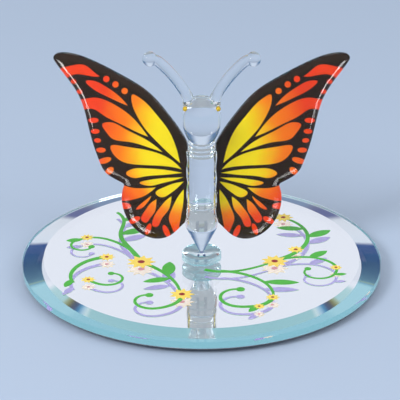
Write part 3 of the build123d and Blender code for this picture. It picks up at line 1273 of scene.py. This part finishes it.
    def inner_points(self, flat: list[Vector], edge: KDTree, border: KDTree) -> list[Vector]:
        """Points over the wing's face, close-set near its margin and wide-set elsewhere.

        Args:
            flat: The outline's corners.
            edge: Points on its margin.
            border: Points all round it.

        Returns:
            The points, some of them outside the outline.
        """
        points = []
        low = [min(place[axis] for place in flat) for axis in (0, 1)]
        high = [max(place[axis] for place in flat) for axis in (0, 1)]
        fine_until = self.dome_width * self.overlap
        for step, start, end in (
            (self.fine_step, self.fine_step * self.clearance, fine_until),
            (self.coarse_step, fine_until, 1.0),
        ):
            for row in range(int((high[1] - low[1]) / (step * self.row_share)) + 1):
                for column in range(int((high[0] - low[0]) / step) + 1):
                    place = Vector((low[0] + step * (column + (row % 2) / 2), low[1] + step * self.row_share * row))
                    spot = (place.x, place.y, 0)
                    if start < edge.find(spot)[2] <= end and border.find(spot)[2] > step * self.clearance:
                        points.append(place)
        return points


@dataclass(frozen=True)
class Card:
    """A small bright card for the right side, with its spread in degrees and its radiance seen from ahead."""

    name: str
    place: Point
    aim: Point
    size: Pair
    spread: float
    glow: float

    def power(self) -> float:
        """The lamp's power in watts."""
        half = radians(self.spread) / 2
        return self.glow * pi * self.size[0] * self.size[1] * (tan(half) - half) / tan(half)


@dataclass
class Studio:
    """The pale floor, the soft light, the surround that the glass shows, and the camera."""

    floor_colour: Rgb = (182, 199, 223)
    floor_size: float = 8.0
    camera_place: Point = (-0.00045, -0.4955, 0.2435)
    camera_pitch: float = 24.111
    camera_lens: float = 174.1
    soft_level: float = 0.62
    # painted reflection: what the mirror shows through the body's glass is this flat grey
    painted_image_grey: Rgb = (172, 176, 181)
    image_faces: int = 3
    clear_colour: Rgb = (196, 210, 230)
    side_colour: Rgb = (58, 104, 150)
    side_from: Pair = (8, 38)
    side_until: Pair = (140, 105)
    beside_from: Pair = (6.4, 7.4)
    wide_from: Pair = (14, 18)
    front_from: Pair = (110, 125)
    aim: Point = (0, 0, 0.035)
    lamps: tuple[tuple[str, Point, float, float], ...] = (
        ("key", (-0.62, -0.62, 0.66), 0.34, 6.0),
        ("fill", (0.75, -0.50, 0.62), 0.60, 2.8),
    )
    strip_size: Pair = (0.08, 0.36)
    strip_power: float = 1.8
    cards: tuple[Card, ...] = (
        Card("fore_card", (0.105, -0.026, 0.009), (0.053, 0.012, 0.059), (0.024, 0.014), 42.0, 30.0),
        Card("notch_card", (0.0436, -0.0125, 0.0085), (0.0215, 0.0015, 0.0310), (0.016, 0.007), 46.0, 12.0),
        Card("hind_card_outer", (0.0300, -0.0082, 0.0068), (0.0168, 0.0003, 0.0179), (0.006, 0.0035), 46.0, 12.0),
        Card("hind_card_inner", (0.0200, -0.0052, 0.0068), (0.0130, -0.0006, 0.0155), (0.006, 0.0035), 46.0, 12.0),
    )
    behind_bands: Bands = (
        (0, (120, 185, 205)), (7, (150, 200, 208)), (15.2, (168, 208, 212)), (15.6, (232, 242, 244)),
        (16.0, (70, 160, 205)), (16.5, (26, 60, 110)), (17.0, (60, 62, 60)), (17.4, (150, 150, 70)),
        (17.9, (168, 208, 212)), (19.6, (176, 212, 216)), (20.4, (240, 239, 248)), (37.2, (240, 239, 248)),
        *OVERHEAD,
    )
    beside_bands: Bands = (
        (0, (120, 185, 205)), (8.5, (60, 110, 150)), (9.4, (26, 48, 100)), (10.0, (150, 145, 70)),
        (11.0, (120, 120, 80)), (12.0, (22, 40, 88)), (22, (22, 44, 98)), (29.6, (40, 76, 140)),
        (30.6, (240, 244, 255)), (37.2, (247, 248, 255)), *OVERHEAD,
    )
    wide_bands: Bands = (
        (0, (120, 185, 205)), (8, (160, 205, 214)), (13, (218, 228, 238)), (34, (240, 239, 248)),
        (44, (122, 126, 166)), (62, (122, 126, 166)), (66, (246, 248, 255)),
    )
    front_bands: Bands = ((0, (140, 200, 214)), (10, (180, 212, 224)), (16, (246, 248, 255)))

    def build(self) -> None:
        """Build the floor, world, lamps, cards and camera."""
        self.build_floor()
        self.build_world()
        for name, place, width, power in self.lamps:
            self.hang(name, place, self.aim, (width, width), power).visible_glossy = False
        for name, place, _, _ in self.lamps:
            strip = self.hang(name + "_strip", place, self.aim, self.strip_size, self.strip_power)
            strip.visible_diffuse = strip.visible_transmission = False
        for side in Side:
            for card in self.cards:
                self.build_card(card, side)
        self.build_camera()

    def build_floor(self) -> None:
        """Lay the floor under the pads."""
        half = self.floor_size / 2
        mesh = bpy.data.meshes.new("floor")
        mesh.from_pydata([(-half, -half, 0), (half, -half, 0), (half, half, 0), (-half, half, 0)], [], [(0, 1, 2, 3)])
        surface = Surface("floor")
        surface.give(Base_Color=linear(*self.floor_colour), Roughness=0.9, Specular_IOR_Level=0.0)
        mesh.materials.append(surface.material)
        put("floor", mesh)

    def build_world(self) -> None:
        """Light everything with a plain soft white, and let highlights and views through glass see the surround."""
        world = bpy.data.worlds.new("studio")
        bpy.context.scene.world = world
        world.use_nodes = True
        tree = Tree(world.node_tree)
        path = tree.add("LightPath").outputs
        soft = tree.supply(tree.add("Background"), Color=(1, 1, 1, 1), Strength=self.soft_level)
        sky = tree.supply(tree.nodes["Background"], Color=self.surround(tree, path), Strength=1.0)
        seen = tree.math("MAXIMUM", path["Is Glossy Ray"], path["Is Transmission Ray"])
        straight = tree.math("LESS_THAN", path["Diffuse Depth"], 0.5)
        blend = tree.blend(tree.math("MULTIPLY", seen, straight), soft.outputs[0], sky.outputs[0])
        tree.links.new(blend, tree.nodes["World Output"].inputs["Surface"])

    def surround(self, tree: Tree, path: NodeOutputs) -> Socket:
        """The surround: bands in mirrors, plain straight through glass, and a painted grey reflection through glass
        in a mirror.

        Args:
            tree: The world's tree.
            path: The outputs of its Light Path.

        Returns:
            The colour.
        """
        across, back, up = tree.split(tree.add("TexCoord").outputs["Generated"])
        azimuth = tree.math("ABSOLUTE", tree.math("ARCTAN2", across, back))
        height = tree.math("DIVIDE", tree.math("ARCSINE", up), radians(90))
        colour = self.banded(tree, height, self.behind_bands)
        for start, bands in (
            (self.beside_from, self.beside_bands),
            (self.wide_from, self.wide_bands),
            (self.front_from, self.front_bands),
        ):
            colour = tree.mix(tree.fade(azimuth, *map(radians, start)), colour, self.banded(tree, height, bands))
        starting = tree.fade(azimuth, *map(radians, self.side_from))
        aside = tree.math("MULTIPLY", starting, tree.fade(azimuth, *map(radians, self.side_until)))
        plain = tree.mix(aside, linear(*self.clear_colour), linear(*self.side_colour))
        colour = tree.mix(tree.math("LESS_THAN", path["Glossy Depth"], 0.5), colour, plain)
        # painted reflection: views through the glass in the mirror get one flat grey
        through = tree.math("GREATER_THAN", path["Transmission Depth"], self.image_faces + 0.5)
        imaged = tree.math("MULTIPLY", through, tree.math("GREATER_THAN", path["Glossy Depth"], 0.5))
        return tree.mix(imaged, colour, linear(*self.painted_image_grey))

    @staticmethod
    def banded(tree: Tree, height: Socket, bands: Bands) -> Socket:
        """Colours that follow each other up the surround.

        Args:
            tree: The world's tree.
            height: The height of the view as a share of a quarter turn.
            bands: Heights in degrees with their colours, from the lowest.

        Returns:
            The colour.
        """
        node = tree.add("ValToRGB")
        tree.feed(node.inputs[0], height)
        ramp = node.color_ramp
        while len(ramp.elements) < len(bands):
            ramp.elements.new(1.0)
        for element, (degrees_up, _) in zip(ramp.elements, bands):
            element.position = degrees_up / 90
        for element, (_, colour) in zip(ramp.elements, bands):
            element.color = linear(*colour)
        return node.outputs["Color"]

    @staticmethod
    def hang(name: str, place: Point, aim: Point, size: Pair, power: float) -> Piece:
        """Hang an area lamp that the camera doesn't see.

        Args:
            name: The lamp's name.
            place: Where it hangs.
            aim: The point that it faces.
            size: Its width and height.
            power: Its power in watts.

        Returns:
            The lamp.
        """
        light = bpy.data.lights.new(name, "AREA")
        light.shape = "RECTANGLE"
        light.size, light.size_y = size
        light.energy = power
        lamp = put(name, light)
        lamp.location = place
        lamp.rotation_euler = (Vector(aim) - Vector(place)).to_track_quat("-Z", "Y").to_euler()
        lamp.visible_camera = False
        return lamp

    def build_card(self, card: Card, side: Side) -> None:
        """Stand a small bright card beside the base, to draw a highlight along a wing's domed margin.

        Args:
            card: The card, for the right side.
            side: The side of the butterfly that it stands on.
        """
        place, aim = ((side.value * point[0], *point[1:]) for point in (card.place, card.aim))
        stand = self.hang(card.name + "_" + side.word, place, aim, card.size, card.power())
        stand.data.spread = radians(card.spread)
        stand.visible_diffuse = stand.visible_transmission = False

    def build_camera(self) -> None:
        """Set the camera where the photograph was taken from."""
        lens = bpy.data.cameras.new("camera")
        lens.lens = self.camera_lens
        lens.sensor_width = 36.0
        lens.clip_start = 0.01
        camera = put("camera", lens)
        camera.location = self.camera_place
        camera.rotation_euler = (radians(90 - self.camera_pitch), 0, 0)
        bpy.context.scene.camera = camera


def main() -> None:
    """Build every sub-assembly in order."""
    logging.basicConfig(level=logging.INFO, format="%(message)s")
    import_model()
    bpy.context.scene.view_settings.view_transform = "Standard"
    cycles = bpy.context.scene.cycles
    cycles.max_bounces = cycles.glossy_bounces = cycles.transmission_bounces = GLASS_BOUNCES
    for part in (MirrorBase(), FlowerPrint(), Figure(), Wings(), Studio()):
        part.build()


if __name__ == "__main__":
    main()
